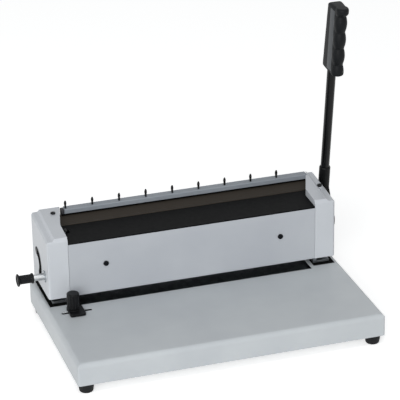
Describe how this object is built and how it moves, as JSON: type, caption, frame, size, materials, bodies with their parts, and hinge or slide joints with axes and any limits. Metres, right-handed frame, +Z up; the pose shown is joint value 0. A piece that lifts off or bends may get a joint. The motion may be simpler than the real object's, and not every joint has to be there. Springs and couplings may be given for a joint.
{
  "type": "wire binding machine",
  "caption": "Grey desk machine with a long lever that punches a row of round holes along a sheet and closes a wire binding under its head.",
  "frame": {"origin": "floor level under the middle of the whole machine, with the lever at rest", "axes": "+X to the user's right along the punching head, +Y to the back, +Z up"},
  "size_m": [0.418, 0.23, 0.3684],
  "materials": {
    "base_paint": "grey powder coat, satin",
    "cover_paint": "grey powder coat, satin",
    "rail_paint": "darker grey powder coat",
    "black_sheet": "black powder coat, satin",
    "dark_plate": "dark olive-brown blued steel",
    "plated_steel": "zinc-plated sheet and bar",
    "ground_steel": "ground and oiled",
    "black_screw": "blackened screws",
    "bright_rod": "bright nickel",
    "bronze": "plain bearing bronze",
    "black_rubber": "matt black",
    "black_plastic": "moulded, fine grain",
    "lever_black": "gloss black enamel"
  },
  "bodies": {
    "housing": {"base_shell": "base_paint", "base_plate": "plated_steel", "rubber_feet": "black_rubber", "foot_screws": "plated_steel", "closing_tray": "black_sheet", "left_frame": "plated_steel", "right_frame": "plated_steel", "frame_bolts": "black_screw", "frame_screws": "black_screw", "shaft_bushes": "bronze", "front_tie": "plated_steel", "spring_tie": "plated_steel", "rear_tie": "plated_steel", "die_plate": "ground_steel", "pin_guide": "ground_steel", "throat_stop": "ground_steel", "paper_table": "black_sheet", "rear_plate": "dark_plate", "top_rail": "rail_paint", "rail_screws": "black_screw", "wire_hooks": "black_sheet", "front_panel": "cover_paint", "panel_screws": "black_screw", "back_panel": "cover_paint", "back_screws": "black_screw", "left_cover": "cover_paint", "right_cover": "cover_paint", "cover_screws": "black_screw", "knob_bush": "plated_steel", "return_springs": "ground_steel"},
    "lever": {"main_shaft": "ground_steel", "stop_disc": "black_sheet", "crank": "lever_black", "lever_rod": "lever_black", "lever_grip": "black_plastic", "hub_cap": "black_screw"},
    "punch": {"punch_bar": "plated_steel", "punch_pins": "ground_steel", "pin_retainer": "plated_steel", "punch_racks": "ground_steel"},
    "closer": {"closing_bar": "ground_steel", "closing_racks": "ground_steel"},
    "edge_dial": {"side_knob": "black_plastic", "guide_screw": "bright_rod"},
    "edge_guide": {"edge_stop": "black_sheet"},
    "size_setting": {"size_knob": "black_plastic", "size_slider": "plated_steel"},
    "anvil": {"closing_anvil": "plated_steel"},
    "drawer": {"chip_tray": "black_sheet"}
  },
  "joints": [
    {"name": "lever_pull", "type": "hinge", "parent": "housing", "child": "lever", "pos_m": [0.007, 0.09, 0.076], "axis": [1, 0, 0], "range_deg": [0, 70], "stiffness_Nm_per_rad": 0.35, "springref_deg": -91.67},
    {"name": "punch_stroke", "type": "slide", "parent": "housing", "child": "punch", "axis": [0, -1, 0], "range_m": [0, 0.0088]},
    {"name": "closing_stroke", "type": "slide", "parent": "housing", "child": "closer", "axis": [0, 0, -1], "range_m": [0, 0.0088], "deforming": ["return_springs"]},
    {"name": "edge_turn", "type": "hinge", "parent": "housing", "child": "edge_dial", "pos_m": [-0.197, 0.0548, 0.0727], "axis": [1, 0, 0], "range_deg": [-722, 722]},
    {"name": "edge_slide", "type": "slide", "parent": "housing", "child": "edge_guide", "axis": [1, 0, 0], "range_m": [-0.0025, 0.0025]},
    {"name": "size_slide", "type": "slide", "parent": "housing", "child": "size_setting", "axis": [1, 0, 0], "range_m": [-0.012, 0.02]},
    {"name": "anvil_lift", "type": "slide", "parent": "housing", "child": "anvil", "axis": [0, 0, 1], "range_m": [-0.0024, 0.00144]},
    {"name": "chip_drawer", "type": "slide", "parent": "housing", "child": "drawer", "axis": [0, 1, 0], "range_m": [0, 0.07]}
  ],
  "couplings": [
    {"joint": "punch_stroke", "follows": "lever_pull", "m_per_rad": 0.0072},
    {"joint": "closing_stroke", "follows": "lever_pull", "m_per_rad": 0.0072},
    {"joint": "edge_turn", "follows": "edge_slide", "rad_per_m": 5026.5},
    {"joint": "anvil_lift", "follows": "size_slide", "ratio": -0.12}
  ]
}
